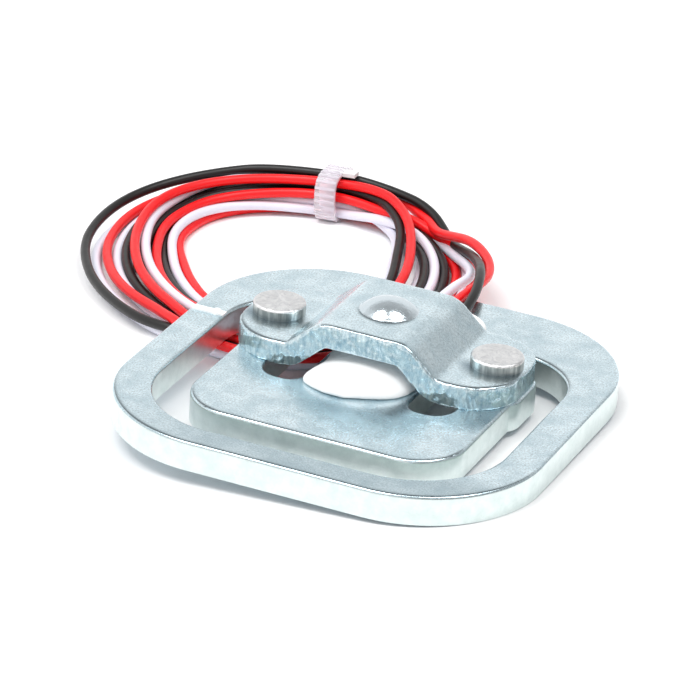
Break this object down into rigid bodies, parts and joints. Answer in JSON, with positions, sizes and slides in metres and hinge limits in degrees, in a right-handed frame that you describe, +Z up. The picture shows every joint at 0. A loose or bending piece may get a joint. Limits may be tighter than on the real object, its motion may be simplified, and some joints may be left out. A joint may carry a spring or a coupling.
{
  "type": "half-bridge load cell",
  "caption": "Flat square load cell: a steel frame with an inner tongue, a riveted load bridge, silicone over the gauge, and thin leads wound into a small tied coil.",
  "frame": {"origin": "centre of the outer frame's flat underside", "axes": "+X along the load bridge, +Y towards the side where the leads leave, +Z up through the load button"},
  "size_m": [0.0525, 0.0563, 0.011],
  "materials": {
    "zinc_plated_spring_steel": "bright zinc plate on stamped alloy steel, faintly mottled, with rolled bright edges",
    "zinc_plated_strip": "bright zinc plate on mild steel strip, with a torn grey shear edge",
    "rivet_metal": "satin, flattened by the press",
    "gauge_film": "thin amber polyimide film",
    "white_silicone": "glossy white silicone, laid by hand",
    "clear_tie": "thin clear film band, ribbed",
    "black_insulation": "soft PVC with a satin gloss",
    "red_insulation": "soft PVC with a satin gloss",
    "white_insulation": "soft PVC with a satin gloss",
    "solder": "small solder mounds under the silicone"
  },
  "bodies": {
    "root": {"spring_plate": "zinc_plated_spring_steel", "load_bridge": "zinc_plated_strip", "rivet_left": "rivet_metal", "rivet_right": "rivet_metal", "strain_gauge": "gauge_film", "silicone_smear": "white_silicone", "silicone_bead": "white_silicone", "coil_tie": "clear_tie", "lead_coil": "black_insulation", "lead_white": "white_insulation", "lead_red": "red_insulation", "lead_black": "black_insulation", "joint_white": "solder", "joint_red": "solder", "joint_black": "solder"}
  },
  "joints": []
}
